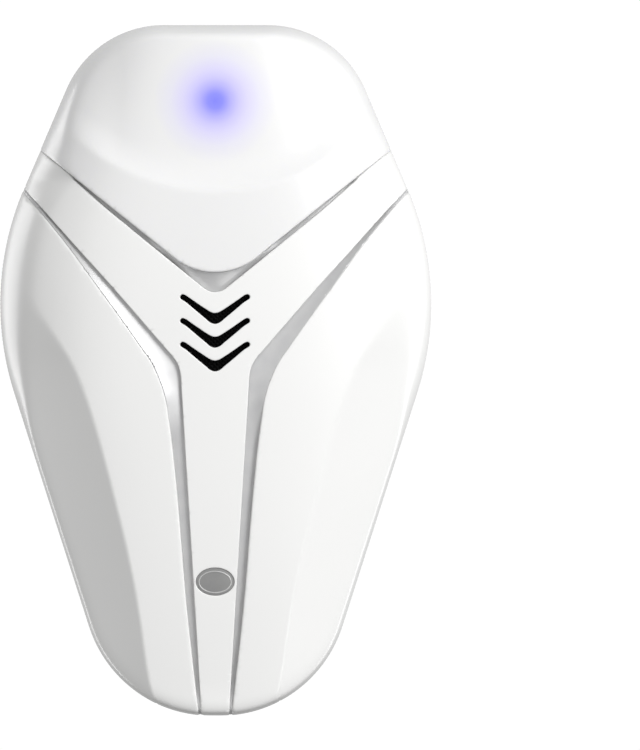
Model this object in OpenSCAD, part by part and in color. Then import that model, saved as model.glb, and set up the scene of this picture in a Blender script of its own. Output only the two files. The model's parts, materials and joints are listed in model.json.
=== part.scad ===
// Plug-in ultrasonic pest repeller, in millimetres.
// Row frame: the origin is the plug's centre on the outlet face, +X right, +Z up, blades along +Y,
// so the decorated front looks along -Y.
// The modules draw in front-view coordinates: [across, height above the body's bottom, forward],
// and ahead() turns them into the row frame.

/* [Body] */
// Width of the body at its shoulders
body_w = 65; // [64.5:0.5:67]
// Height of the body
body_h = 104; // [103.5:0.5:106]
// Depth of the rear moulding, up to the parting plane
rear_d = 11; // [10.5:0.5:12]
// Depth of the front moulding, from the parting plane to the crown
front_d = 19; // [19:0.5:21]
// Wall thickness of the mouldings
wall = 2; // [1.8:0.1:2.1]
// Height of the plug's centre above the body's bottom
plug_h = 57; // [56:0.5:58]
// How far the plug base stands proud of the rear cover
plug_proud = 0.8; // [0.5:0.1:1]

/* [Front] */
// How far the forehead around the lamp lies below the lip of the lamp cap
forehead_drop = 1.6; // [1:0.1:1.8]
// Angle at which the lower flanks fall away
flank_angle = 43; // [40:1:46]
// How far the spine panel lies below the wings
spine_drop = 0.3; // [0.2:0.05:0.5]
// Thickness of the spine panel
spine_t = 1.15; // [1:0.05:1.2]
// Thickness of the plated trim under the spine panel
trim_t = 0.45; // [0.4:0.05:0.5]
// Thickness of the trough floor that carries the trim
floor_t = 1.7; // [1.6:0.1:1.8]

/* [Sound slots] */
// Number of chevron slots
slot_count = 3; // [2:1:3]
// Distance from one slot to the next
slot_pitch = 3.56; // [3.4:0.02:3.7]
// Distance from the centre to a slot's arm end
slot_reach = 4.85; // [4.6:0.05:5]
// Height of the top slot's arm ends
slot_top = 62.95; // [62.5:0.05:63.2]

/* [Plug] */
// Distance between the blades
blade_pitch = 12.7; // [12.7:0.1:12.7]
// Width of a blade
blade_w = 6.35; // [6.2:0.05:6.5]
// Thickness of a blade
blade_t = 1.5; // [1.4:0.05:1.6]
// Length of a blade outside the body
blade_l = 16.5; // [15.5:0.5:18]
// Diameter of the hole near a blade's tip
blade_hole_d = 3.2; // [3:0.1:3.4]

/* [Transducer] */
// Diameter of the transducer housing
transducer_d = 27; // [26:0.5:27.5]
// Height of the transducer housing
transducer_t = 6.4; // [6.2:0.1:6.6]
// Diameter of the piezo disc
piezo_d = 15; // [12:0.5:16]

/* [Board] */
// Thickness of the circuit board
board_t = 1.6; // [1.2:0.2:1.6]
// Gap between the parting plane and the board
board_gap = 3; // [3:0.1:3.2]
// Diameter of the lamp's lens
led_d = 5; // [4.8:0.1:5.2]
// Height of the lamp above the body's bottom
led_h = 92.5; // [92:0.5:93]

/* [Hidden] */

far = 60;
fit = 0.1;
seam = 0.6;
mid_h = body_h / 2;

// Corners of the body's outline as [across, height, radius], right half from the bottom up
OUTLINE_CORNERS = [
    [0.2277 * body_w, 0, 19.3],
    [0.5448 * body_w, 0.6173 * body_h, 44],
    [0.2831 * body_w, body_h, 16]
];
CORNER_STEPS = 10;

// Width of the rounded shoulder between the outline and the face, by height
BAND = [
    [0, 2.8], [8, 2.4], [20, 2], [42, 2.2], [52, 4], [62, 6], [73, 6.3], [84, 5.6], [91, 3.5],
    [97, 2.8], [104, 2.7]
];
// Width in which the wall of the lower half rises, below its rounded edge
draft = 0.7;
// Flank crease, distance from the centre line by height
CREASE = [
    [0, 8.6], [6, 10], [16, 11.5], [24, 12.9], [33, 15.1], [42, 17.5],
    [48, 19.4], [53, 21.5], [58, 24.7], [62, 27.5], [65, 29], [104, 29]
];
shoulder_over = 0.5;
flank_hollow = 0.008;
// Fall of the crowned face: to the sides, as a flat and a round part, and to the bottom and top
crown_flat = 4.2;
crown_round = 6.2;
crown_bottom = 5;
crown_top = 3.4;
crown_h = 60;
// Distance from the centre line at which the face has fallen to the sides in full, by height
CROWN_REACH = [[0, 32], [62, 32], [72, 30.8], [82, 27.6], [92, 23.6], [104, 19.5]];

// Lower and upper arcs of the crescent on the lamp cap: [height of the centre, radius]
LIP_ARC = [109.5, 30.7];
FOREHEAD_ARC = [120.3, 35.6];

// Lower edge of the lamp cap and upper edge of the spine panel: [height at the centre, slope, tip radius]
CAP_EDGE = [63.8, 0.8, 9.9];
SPINE_EDGE = [62.95, 0.808, 2.6];

// Right side of the spine panel and of the trough it lies in, as [across, height], from the bottom up
SPINE_SIDE = [
    [2.1, -2], [5.12, 50.6], [5.3, 52.1], [6, 53.5], [7.4, 55.2], [15.7, 64.7], [19.9, 69.3], [42, 93.9]
];
TROUGH_SIDE = [
    [2.3, -2], [3.1, 4.8], [4.4, 17.8], [5.5, 31.4], [6.95, 44.7], [7.4, 48],
    [8.2, 50.5], [9.5, 53.2], [11.3, 55.8], [13.6, 59], [22, 70.4], [42, 94.2]
];

spine_back = spine_drop + spine_t;
trim_back = spine_back + trim_t;
floor_back = trim_back + floor_t;
board_back = rear_d + board_gap;
board_front = board_back + board_t;

COVER_SCREWS = [[-24, 65], [24, 65], [-10, 11], [10, 11]];
BOARD_SCREWS = [[-16.5, 69.5], [16.5, 69.5], [-9.5, 25], [9.5, 25]];
CLAMP_ANGLES = [30, 150, 270];

transducer_h = 57.5;
gasket_t = 0.7;
flange_t = 1.5;
flange_r = transducer_d / 2 + 1.5;
gasket_front = rear_d + front_d - floor_back - 2.2;
flange_front = gasket_front - gasket_t;
flange_back = flange_front - flange_t;
transducer_back = flange_front - transducer_t;
clamp_t = 1.2;
clamp_r = 17.6;

plug_face_w = 24;
plug_face_h = 15;
plug_corner_r = 3;
plug_flange = 3;
plug_inner_d = 8;

function unit(v) = v / norm(v);

// Points of the arc that rounds corner b between its neighbours a and c, moved inwards by inset
function corner_arc(a, b, c, r, n, inset = 0) =
    let (
        u = unit(a - b),
        v = unit(c - b),
        half = acos(u * v) / 2,
        centre = b + unit(u + v) * r / sin(half),
        from = b + u * r / tan(half) - centre,
        to = b + v * r / tan(half) - centre,
        start = atan2(from.y, from.x),
        turn = (atan2(to.y, to.x) - start + 540) % 360 - 180
    )
    [for (i = [0:n]) centre + (r - inset) * [cos(start + turn * i / n), sin(start + turn * i / n)]];

function flat(p) = [p.x, p.y];
function reversed(points) = [for (i = [len(points) - 1:-1:0]) points[i]];
function mirrored(points) = [for (i = [len(points) - 1:-1:0]) [-points[i].x, points[i].y]];

function outline_half(inset = 0) =
    let (
        c = OUTLINE_CORNERS,
        last = len(c) - 1,
        low = [-c[0].x, c[0].y],
        high = [-c[last].x, c[last].y]
    )
    [for (i = [0:last]) each corner_arc(
        i == 0 ? low : flat(c[i - 1]),
        flat(c[i]),
        i == last ? high : flat(c[i + 1]),
        c[i][2],
        CORNER_STEPS,
        inset
    )];

HALF = outline_half();
bottom_h = HALF[0].y;
top_h = HALF[len(HALF) - 1].y;
WIDTH_BY_HEIGHT = [for (p = HALF) [p.y, p.x]];

function half_width(h) = lookup(h, WIDTH_BY_HEIGHT);
function clamp(v, low, high) = min(max(v, low), high);
function ease(v) = let (t = clamp(v, 0, 1)) t * t * (3 - 2 * t);
function soft_min(a, b, k) = min(a, b) - pow(max(k - abs(a - b), 0), 2) / (4 * k);

function edge_distance(p, a, b) =
    let (t = clamp((p - a) * (b - a) / ((b - a) * (b - a)), 0, 1))
    norm(p - a - t * (b - a));
function inside_distance(p) =
    let (
        q = [abs(p.x), p.y],
        edges = [for (i = [1:len(HALF) - 1]) if (norm(HALF[i] - HALF[i - 1]) > 0.001) i]
    )
    min(
        min([for (i = edges) edge_distance(q, HALF[i - 1], HALF[i])]),
        edge_distance(q, [0, bottom_h], HALF[0]),
        edge_distance(q, HALF[len(HALF) - 1], [0, top_h])
    );

// Height of the crowned face over the parting plane
function face_rise(x, h) =
    let (
        out = min(abs(x) / lookup(h, CROWN_REACH), 1.05),
        below = pow(max(crown_h - h, 0) / crown_h, 2),
        above = pow(max(h - crown_h, 0) / (body_h - crown_h), 2)
    )
    front_d - crown_flat * pow(out, 2) - crown_round * pow(out, 4)
        - crown_bottom * below - crown_top * above;

// How far the face of the lamp cap steps down behind its lip
function forehead_step(x, h) =
    let (
        lip = LIP_ARC[1] - norm([x, h - LIP_ARC[0]]),
        forehead = FOREHEAD_ARC[1] - norm([x, h - FOREHEAD_ARC[0]]),
        t = lip <= 0 ? 0 : (forehead >= 0 ? 1 : lip / (lip - forehead))
    )
    forehead_drop * t * (2 - t) * (1 - ease((abs(x) - 14) / 10));

// Height of the flank that falls away outside the crease
function flank_rise(x, h) =
    let (
        crease = lookup(h, CREASE),
        outside = abs(x) - crease
    )
    face_rise(crease, h) - tan(flank_angle) * outside + flank_hollow * outside * max(outside, 0);

// Quarter circle that rises steeply from 0 and is level at 1
function quarter(t) = sqrt(1 - pow(1 - min(t, 1), 2));

// Shoulder that reaches a face of the given rise: round on the upper half, and a near-upright wall
// with a rounded edge on the lower half
function wall_rise(x, h, face) =
    let (
        depth = inside_distance([x, h]),
        band = lookup(h, BAND),
        upright = draft + (band - draft) * ease((h - 38) / 16)
    )
    (face + shoulder_over - band) * quarter(depth / upright) + band * quarter(depth / band);

function front_rise(x, h) =
    let (face = soft_min(face_rise(x, h) - forehead_step(x, h), flank_rise(x, h), 0.5))
    max(0, soft_min(wall_rise(x, h, face), face, 1));

rear_round = 5;
function rear_rise(x, h) =
    let (t = 1 - min(inside_distance([x, h]) / rear_round, 1))
    (rear_d - plug_proud) * pow(1 - pow(t, 2.4), 1 / 2.4);

// The skin is a grid of points that crowd towards the outline
ROWS = 32;
COLUMNS = 20;
SPREAD = [for (i = [0:COLUMNS]) sin(90 * (2 * i / COLUMNS - 1))];
LEVELS = [for (j = [0:ROWS]) bottom_h + (top_h - bottom_h) * (1 - cos(180 * j / ROWS)) / 2];
function on_edge(i, j) = i == 0 || j == 0 || i == COLUMNS || j == ROWS;
FRONT_RISE = [for (h = LEVELS) [for (s = SPREAD) front_rise(s * half_width(h), h)]];
REAR_RISE = [for (h = LEVELS) [for (s = SPREAD) rear_rise(s * half_width(h), h)]];
EDGE_LOOP = concat(
    [for (i = [0:COLUMNS - 1]) [i, 0]],
    [for (j = [0:ROWS - 1]) [COLUMNS, j]],
    [for (i = [COLUMNS:-1:1]) [i, ROWS]],
    [for (j = [ROWS:-1:1]) [0, j]]
);

function skin_point(rise, i, j, inset) =
    let (
        h = LEVELS[j],
        w = half_width(h),
        up = on_edge(i, j) ? 0 : max(rise[j][i] - inset, 0)
    )
    [SPREAD[i] * max(w - inset, w / 2), mid_h + (h - mid_h) * (1 - inset / mid_h), up];

// Solid under a skin of points, moved inwards by inset, with a skirt below the parting plane
module skin(rise, inset) {
    top = [for (j = [0:ROWS]) for (i = [0:COLUMNS]) skin_point(rise, i, j, inset)];
    skirt = [for (e = EDGE_LOOP) skin_point(rise, e[0], e[1], inset) - [0, 0, 1]];
    per_row = COLUMNS + 1;
    n = len(EDGE_LOOP);
    first = len(top);
    quads = [for (j = [0:ROWS - 1]) for (i = [0:COLUMNS - 1]) i + j * per_row];
    faces = concat(
        [for (q = quads) [q, q + per_row, q + per_row + 1]],
        [for (q = quads) [q, q + per_row + 1, q + 1]],
        [for (k = [0:n - 1]) let (a = EDGE_LOOP[k], b = EDGE_LOOP[(k + 1) % n])
            [a[0] + a[1] * per_row, b[0] + b[1] * per_row, first + (k + 1) % n, first + k]],
        [[for (k = [0:n - 1]) first + k]]
    );
    polyhedron(concat(top, skirt), faces);
}

module front_skin(inset) translate([0, 0, rear_d]) skin(FRONT_RISE, inset);
module rear_skin(inset) translate([0, 0, rear_d]) mirror([0, 0, 1]) skin(REAR_RISE, inset);

// Turns front-view coordinates into the row frame
module ahead() translate([0, 0, -plug_h]) rotate([90, 0, 0]) children();

// Joins its children into one mesh and keeps their size
module one_mesh() resize([0, 0, 0]) children();

// Everything in front of the parting plane inside a front-view outline
module front_zone(from = 0) translate([0, 0, rear_d + from]) linear_extrude(far) children();
// Layer between two skins; from keeps it clear of the parting plane
module front_layer(outer, inner, points, from = 0) {
    intersection() {
        difference() {
            front_skin(outer);
            front_skin(inner);
        }
        front_zone(from) polygon(points);
    }
}
module rod(x, h, r, from, to) translate([x, h, from]) cylinder(r = r, h = to - from, $fn = 24);
module block(x, h, size, from) translate([x - size.x / 2, h - size.y / 2, from]) cube(size);

// A V with a rounded tip, from its left arm to its right: both arms rise outwards at the given slope
function vee(edge, shift) =
    let (left = [-42, edge[0] + shift + 42 * edge[1]], tip = [0, edge[0] + shift], right = [42, left.y])
    concat([left], corner_arc(left, tip, right, edge[2], 8), [right]);
function above_vee(edge) = concat(vee(edge, 0), [[42, 130], [-42, 130]]);
// Region under a V, down to a right side that is given from the bottom up and its mirror image
function below_vee(edge, shift, side) = concat(side, reversed(vee(edge, shift)), mirrored(side));
function inset_side(side, by) = [for (p = side) [p.x - by, p.y - by * 0.6]];

SPINE_ZONE = below_vee(SPINE_EDGE, 0, SPINE_SIDE);
TRIM_ZONE = below_vee(CAP_EDGE, -fit, inset_side(TROUGH_SIDE, fit));
// The cover reaches under the cap by cap_lap, and the trough is open above it
cap_lap = 6;
COVER_ZONE = below_vee(CAP_EDGE, cap_lap, [[42, -2]]);
TROUGH_ZONE = below_vee(CAP_EDGE, cap_lap + 1, TROUGH_SIDE);

// Opening behind the sound slots
SLOT_WINDOW = [[-5.6, 63.6], [-5.6, 56.2], [-1.2, 51], [1.2, 51], [5.6, 56.2], [5.6, 63.6]];

module sound_slot(h) {
    arc_r = 0.33;
    for (side = [-1, 1]) {
        hull() {
            translate([side * slot_reach, h]) circle(r = arc_r, $fn = 16);
            translate([side * 0.4, h - 3.28]) circle(r = 0.77, $fn = 16);
        }
    }
    translate([-0.4, h - 4.05]) square([0.8, 1.54]);
}
module sound_slots(from, to) {
    translate([0, 0, from]) linear_extrude(to - from) {
        for (k = [0:slot_count - 1]) sound_slot(slot_top - k * slot_pitch);
    }
}

// Generic oval inlay on the stem
BADGE = [0, 20.3, 5.4, 3.8];
module badge_shape(grow, from, to) {
    translate([BADGE[0], BADGE[1], from]) {
        scale([1, (BADGE[3] + 2 * grow) / (BADGE[2] + 2 * grow), 1]) {
            cylinder(d = BADGE[2] + 2 * grow, h = to - from, $fn = 40);
        }
    }
}
badge_front = rear_d + front_d - 2.6;

module front_cover() {
    trough_wall = 1.4;
    boss_top = rear_d + front_d;
    color("white") ahead() one_mesh() difference() {
        union() {
            difference() {
                intersection() {
                    front_skin(0);
                    front_zone() polygon(COVER_ZONE);
                }
                difference() {
                    front_skin(wall);
                    front_zone(-2) offset(delta = trough_wall) polygon(TROUGH_ZONE);
                }
                front_skin(floor_back);
                difference() {
                    front_zone(-2) polygon(TROUGH_ZONE);
                    front_skin(trim_back);
                }
            }
            intersection() {
                for (p = COVER_SCREWS) rod(p.x, p.y, 3, rear_d, boss_top);
                front_skin(wall / 2);
            }
            intersection() {
                union() {
                    difference() {
                        rod(0, transducer_h, transducer_d / 2 + 1, gasket_front, boss_top);
                        rod(0, transducer_h, transducer_d / 2 - 3, gasket_front - 1, boss_top + 1);
                    }
                    for (a = CLAMP_ANGLES) {
                        rod(clamp_r * cos(a), transducer_h + clamp_r * sin(a), 2.2, flange_back, boss_top);
                    }
                }
                front_skin(trim_back + floor_t / 2);
            }
        }
        front_zone() polygon(SLOT_WINDOW);
        for (p = COVER_SCREWS) rod(p.x, p.y, 1.3, rear_d - 1, rear_d + 8);
        for (a = CLAMP_ANGLES) {
            rod(clamp_r * cos(a), transducer_h + clamp_r * sin(a), 0.9, flange_back - 1, flange_back + 3);
        }
    }
}

module lamp_cap() {
    color("whitesmoke") ahead() one_mesh() front_layer(0, wall - 0.2, above_vee(CAP_EDGE));
}

module spine_panel() {
    color("white") ahead() one_mesh() difference() {
        front_layer(spine_drop, spine_back, SPINE_ZONE, seam);
        sound_slots(rear_d, far);
        badge_shape(fit, badge_front - 0.7, far);
    }
}

module groove_trim() {
    color("silver") ahead() one_mesh() difference() {
        front_layer(spine_back + 0.02, trim_back - 0.02, TRIM_ZONE, seam);
        front_zone() polygon(SLOT_WINDOW);
    }
}

module badge() {
    color("gray") ahead() badge_shape(0, badge_front - 0.6, badge_front);
}

module dust_mesh() {
    mesh_back = rear_d + front_d - trim_back - 0.4;
    color("black") ahead() translate([0, transducer_h, mesh_back]) scale([0.97, 0.97, 1]) {
        translate([0, -transducer_h, 0]) linear_extrude(0.4) polygon(SLOT_WINDOW);
    }
}

function rounded_box(w, h, r) =
    let (
        right = concat(
            corner_arc([-w / 2, -h / 2], [w / 2, -h / 2], [w / 2, h / 2], r, 6),
            corner_arc([w / 2, -h / 2], [w / 2, h / 2], [-w / 2, h / 2], r, 6)
        )
    )
    concat(right, mirrored(right));
module plug_block(grow, from, to) {
    translate([0, plug_h, from]) linear_extrude(to - from) {
        polygon(rounded_box(plug_face_w + 2 * grow, plug_face_h + 2 * grow, plug_corner_r));
    }
}

// Flat ring between two insets of the outline
module outline_ring(outer, inner) {
    difference() {
        polygon(concat(outline_half(outer), mirrored(outline_half(outer))));
        polygon(concat(outline_half(inner), mirrored(outline_half(inner))));
    }
}
module rear_cover() {
    head_seat = 7;
    color("white") ahead() one_mesh() difference() {
        union() {
            intersection() {
                difference() {
                    rear_skin(0);
                    rear_skin(wall);
                }
                linear_extrude(rear_d) translate([-42, -2]) square([84, 112]);
            }
            intersection() {
                for (p = COVER_SCREWS) rod(p.x, p.y, 3.9, 0, rear_d);
                rear_skin(0.2);
            }
            for (p = BOARD_SCREWS) rod(p.x, p.y, 2.6, plug_proud + wall / 2, board_back);
            translate([0, 0, rear_d - 2.2]) linear_extrude(2) outline_ring(wall / 2, wall + 2.1);
            translate([0, 0, rear_d - 1]) linear_extrude(2) difference() {
                outline_ring(wall + 1, wall + 2);
                offset(delta = 1.8) polygon(TROUGH_ZONE);
                for (p = COVER_SCREWS) translate(p) circle(r = 3.3, $fn = 24);
            }
        }
        plug_block(fit, -1, rear_d);
        for (p = COVER_SCREWS) {
            rod(p.x, p.y, 1.4, -1, rear_d + 1);
            rod(p.x, p.y, 2.9, -1, head_seat);
        }
        for (p = BOARD_SCREWS) rod(p.x, p.y, 1, board_back - 6, board_back + 1);
    }
}

module plug_base() {
    color("white") ahead() difference() {
        union() {
            plug_block(0, 0, plug_inner_d);
            plug_block(1.5, plug_proud + wall + 0.02, plug_proud + wall + plug_flange);
        }
        for (side = [-1, 1]) block(side * blade_pitch / 2, plug_h, [blade_t, blade_w, far], -1);
    }
}

module blade(side) {
    inner = plug_inner_d + 2.4;
    tip = 1.6;
    color("goldenrod") ahead() translate([side * blade_pitch / 2, plug_h, 0]) difference() {
        translate([-blade_t / 2, 0, 0]) rotate([90, 0, 90]) linear_extrude(blade_t) polygon([
            [-blade_w / 2, inner], [-blade_w / 2, -blade_l + tip], [-blade_w / 2 + tip, -blade_l],
            [blade_w / 2 - tip, -blade_l], [blade_w / 2, -blade_l + tip], [blade_w / 2, inner]
        ]);
        translate([-5, 0, -11.7]) rotate([0, 90, 0]) cylinder(d = blade_hole_d, h = 10, $fn = 40);
    }
}
module blade_left() blade(-1);
module blade_right() blade(1);

module blade_tags() {
    color("silver") ahead() for (side = [-1, 1]) {
        block(side * (blade_pitch / 2 + blade_t / 2 + 0.3), plug_h, [0.56, 4, 2.2], plug_inner_d + 0.1);
    }
}

// Tube with eight sides along a list of points
module wire(path, r) {
    n = len(path);
    sides = 8;
    function heading(i) = unit(path[min(i + 1, n - 1)] - path[max(i - 1, 0)]);
    function ring(i) =
        let (t = heading(i), u = unit(cross(t, [0.3, 0.2, 1])), v = cross(t, u))
        [for (k = [0:sides - 1]) path[i] + r * (u * cos(360 * k / sides) + v * sin(360 * k / sides))];
    points = [for (i = [0:n - 1]) each ring(i)];
    faces = concat(
        [[for (k = [0:sides - 1]) k]],
        [for (i = [0:n - 2]) for (k = [0:sides - 1])
            [i * sides + k, (i + 1) * sides + k, (i + 1) * sides + (k + 1) % sides]],
        [for (i = [0:n - 2]) for (k = [0:sides - 1])
            [i * sides + k, (i + 1) * sides + (k + 1) % sides, i * sides + (k + 1) % sides]],
        [[for (k = [sides - 1:-1:0]) (n - 1) * sides + k]]
    );
    polyhedron(points, faces);
}

// Routes of the mains wires, from the blade's tag to the back of the board
LIVE_ROUTE = [
    [-8.4, 57, 9.2], [-9.4, 57.4, 9.6], [-10.8, 58.6, 10.4], [-12.2, 60.4, 11.2],
    [-13.2, 62.2, 12], [-13.5, 63.2, 12.9], [-13.5, 63.2, board_back - 0.02]
];
NEUTRAL_ROUTE = [
    [8.4, 57, 9.2], [9.4, 56.8, 9.6], [10.9, 56, 10.3], [12.4, 55, 11.1],
    [13.5, 54, 12], [13.9, 53.4, 12.9], [13.9, 53.4, board_back - 0.02]
];
module live_wire() color("saddlebrown") ahead() wire(LIVE_ROUTE, 0.6);
module neutral_wire() color("steelblue") ahead() wire(NEUTRAL_ROUTE, 0.6);

BOARD = [
    [-13, 21], [13, 21], [19.5, 47], [19.5, 73], [12, 89], [12, 96.5],
    [-12, 96.5], [-12, 89], [-19.5, 73], [-19.5, 47]
];
module main_board() {
    color("darkgreen") ahead() difference() {
        translate([0, 0, board_back]) linear_extrude(board_t) polygon(BOARD);
        for (p = BOARD_SCREWS) rod(p.x, p.y, 1.2, board_back - 1, board_front + 1);
    }
}

module fuse_resistor() {
    color("olive") ahead() translate([-12.5, 76.5, board_front + 1.9]) rotate([-90, 0, 0]) {
        cylinder(r = 1.7, h = 7.5, $fn = 32);
        translate([0, 0, -1.6]) cylinder(r = 0.35, h = 10.7, $fn = 16);
    }
}
module varistor() {
    color("royalblue") ahead() translate([-6.6, 82, board_front + 4.6]) rotate([0, 90, 0]) {
        cylinder(r = 3.6, h = 2.6, center = true, $fn = 40);
    }
}
module mains_capacitor() color("gold") ahead() block(5.4, 80.5, [12, 5.2, 7.4], board_front + 0.3);
module bridge_rectifier() color("black") ahead() block(-10, 38, [5, 6.4, 2.6], board_front + 0.2);
module bulk_capacitor() {
    color("midnightblue") ahead() rod(-4.4, 31.2, 4.1, board_front + 0.4, board_front + 8);
}

choke_h = 31.2;
choke_x = 5.4;
module choke_core() {
    color("dimgray") ahead() {
        rod(choke_x, choke_h, 4.1, board_front + 0.3, board_front + 1.3);
        rod(choke_x, choke_h, 2, board_front + 1.3, board_front + 6.3);
        rod(choke_x, choke_h, 4.1, board_front + 6.3, board_front + 7.3);
    }
}
module choke_winding() {
    color("orangered") ahead() difference() {
        rod(choke_x, choke_h, 3.7, board_front + 1.35, board_front + 6.25);
        rod(choke_x, choke_h, 2.02, board_front, board_front + 8);
    }
}

module control_chip() {
    pin_gap = 1.27;
    color("black") ahead() {
        block(4.5, 41, [3.9, 5, 1.5], board_front + 0.15);
        for (side = [-1, 1]) {
            for (k = [-1.5:1:1.5]) {
                block(4.5 + side * 2.5, 41 + k * pin_gap, [1.2, 0.42, 0.5], board_front + 0.02);
            }
        }
    }
}
module drive_transistors() {
    color("black") ahead() for (h = [42, 48.5]) {
        translate([-14.8, h, board_front + 0.6]) difference() {
            cylinder(r = 2.3, h = 4.6, $fn = 32);
            translate([-5, -4.6, -1]) cube([10, 3.4, 7]);
        }
    }
}
module chip_resistors() {
    color("black") ahead() {
        for (k = [0:4]) block(10.4, 34.6 + k * 2.4, [2, 1.2, 0.5], board_front + 0.02);
        for (k = [0:2]) block(15.8, 48 + k * 2.4, [2, 1.2, 0.5], board_front + 0.02);
    }
}
module chip_capacitors() {
    color("tan") ahead() {
        for (k = [0:2]) block(-4.8 + k * 2.6, 24.2, [1.2, 2, 0.9], board_front + 0.02);
        for (k = [0:1]) block(0.2, 38.4 + k * 2.6, [2, 1.2, 0.9], board_front + 0.02);
    }
}

led_seat = board_front + 1.2;
module led() {
    color("lavender") ahead() translate([0, led_h, led_seat]) {
        cylinder(d = led_d + 0.8, h = 1, $fn = 40);
        cylinder(d = led_d, h = 5, $fn = 40);
        intersection() {
            translate([0, 0, 5]) sphere(d = led_d, $fn = 40);
            translate([0, 0, 5]) cylinder(d = led_d + 1, h = 3, $fn = 40);
        }
    }
}
module led_spacer() color("white") ahead() rod(0, led_h, 2.9, board_front + 0.02, led_seat - 0.02);
module led_tube() {
    color("white") ahead() difference() {
        rod(0, led_h, 4.1, board_front + 0.02, board_front + 6.4);
        rod(0, led_h, 3.2, board_front - 1, board_front + 8);
    }
}

// The transducer is drawn as profiles of [radius, forward] turned about its axis
module turned(points) translate([0, transducer_h, 0]) rotate_extrude($fn = 64) polygon(points);

module transducer_housing() {
    r = transducer_d / 2;
    color("dimgray") ahead() turned([
        [0, transducer_back], [r, transducer_back], [r, flange_back], [flange_r, flange_back],
        [flange_r, flange_front], [r - 1.2, flange_front], [r - 1.2, transducer_back + 1.2],
        [0, transducer_back + 1.2]
    ]);
}
module transducer_cone() {
    r = transducer_d / 2 - 1.4;
    low = transducer_back + 2.2;
    color("silver") ahead() turned([
        [0, low], [2.5, low], [r - 1.5, flange_front - 1.4], [r, flange_front - 1.4],
        [r, flange_front - 0.9], [r - 1.7, flange_front - 0.9], [2.3, low + 0.5], [0, low + 0.5]
    ]);
}
module piezo_disc() {
    color("gold") ahead() rod(0, transducer_h, piezo_d / 2, transducer_back + 1.25, transducer_back + 1.75);
}
module transducer_gasket() {
    color("black") ahead() turned([
        [transducer_d / 2 - 1.1, flange_front + 0.02], [transducer_d / 2 + 0.9, flange_front + 0.02],
        [transducer_d / 2 + 0.9, gasket_front - 0.02], [transducer_d / 2 - 1.1, gasket_front - 0.02]
    ]);
}
module clamp_ring() {
    color("gainsboro") ahead() difference() {
        union() {
            rod(0, transducer_h, flange_r, flange_back - clamp_t, flange_back - 0.02);
            for (a = CLAMP_ANGLES) {
                translate([0, transducer_h, 0]) rotate([0, 0, a]) {
                    block(clamp_r / 2 + 4, 0, [clamp_r - 8, 5, clamp_t - 0.02], flange_back - clamp_t);
                    rod(clamp_r, 0, 2.5, flange_back - clamp_t, flange_back - 0.02);
                }
            }
        }
        rod(0, transducer_h, transducer_d / 2 + 0.1, 0, far);
        for (a = CLAMP_ANGLES) {
            rod(clamp_r * cos(a), transducer_h + clamp_r * sin(a), 1.1, 0, far);
        }
    }
}

// Pan-head screw at the given place: its head reaches back from seat, its shank forward
module screw(x, h, seat, shank_r, shank_l, head_r, head_l) {
    difference() {
        union() {
            rod(x, h, shank_r, seat, seat + shank_l);
            rod(x, h, head_r, seat - head_l, seat);
        }
        block(x, h, [head_r * 1.2, 0.45, 0.6], seat - head_l - 0.01);
        block(x, h, [0.45, head_r * 1.2, 0.6], seat - head_l - 0.01);
    }
}
module clamp_screws() {
    color("silver") ahead() for (a = CLAMP_ANGLES) {
        at = [clamp_r * cos(a), transducer_h + clamp_r * sin(a)];
        screw(at.x, at.y, flange_back - clamp_t - 0.02, 0.85, 3.6, 1.9, 1.2);
    }
}
module board_screws() {
    color("silver") ahead() for (p = BOARD_SCREWS) {
        translate([0, 0, 2 * board_front + 0.04]) mirror([0, 0, 1]) {
            screw(p.x, p.y, board_front + 0.02, 0.95, 6.5, 2, 1.3);
        }
    }
}
module cover_screws() {
    color("silver") ahead() for (p = COVER_SCREWS) screw(p.x, p.y, 6.98, 1.25, 11, 2.4, 1.8);
}

// Routes of the transducer's leads, from its back to the front of the board
LEAD_ROUTE = [
    [3.6, 50, transducer_back - 0.45], [3.8, 48.4, transducer_back - 0.7],
    [4.2, 46.6, transducer_back - 0.8], [4.6, 45, transducer_back - 0.8],
    [4.9, 44.2, board_front + 0.6], [5, 43.9, board_front + 0.05]
];
module transducer_lead_left() color("firebrick") ahead() wire([for (p = LEAD_ROUTE) [-p.x, p.y, p.z]], 0.4);
module transducer_lead_right() color("black") ahead() wire([for (p = LEAD_ROUTE) p + [3.4, 0, 0]], 0.4);

front_cover();
rear_cover();
lamp_cap();
spine_panel();
groove_trim();
badge();
dust_mesh();
plug_base();
blade_left();
blade_right();
blade_tags();
live_wire();
neutral_wire();
main_board();
fuse_resistor();
varistor();
mains_capacitor();
bridge_rectifier();
bulk_capacitor();
choke_core();
choke_winding();
control_chip();
drive_transistors();
chip_resistors();
chip_capacitors();
led();
led_spacer();
led_tube();
transducer_housing();
transducer_cone();
piezo_disc();
transducer_gasket();
clamp_ring();
clamp_screws();
transducer_lead_left();
transducer_lead_right();
board_screws();
cover_screws();
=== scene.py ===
"""Looks of a plug-in ultrasonic pest repeller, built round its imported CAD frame.

Shapes are worked out in front-view millimetres: x across, h height above the body's bottom, f forward of the
outlet face. to_row() turns them into the row frame in metres.
"""
import json
import math

import bpy
import numpy as np
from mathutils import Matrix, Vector, geometry


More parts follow.
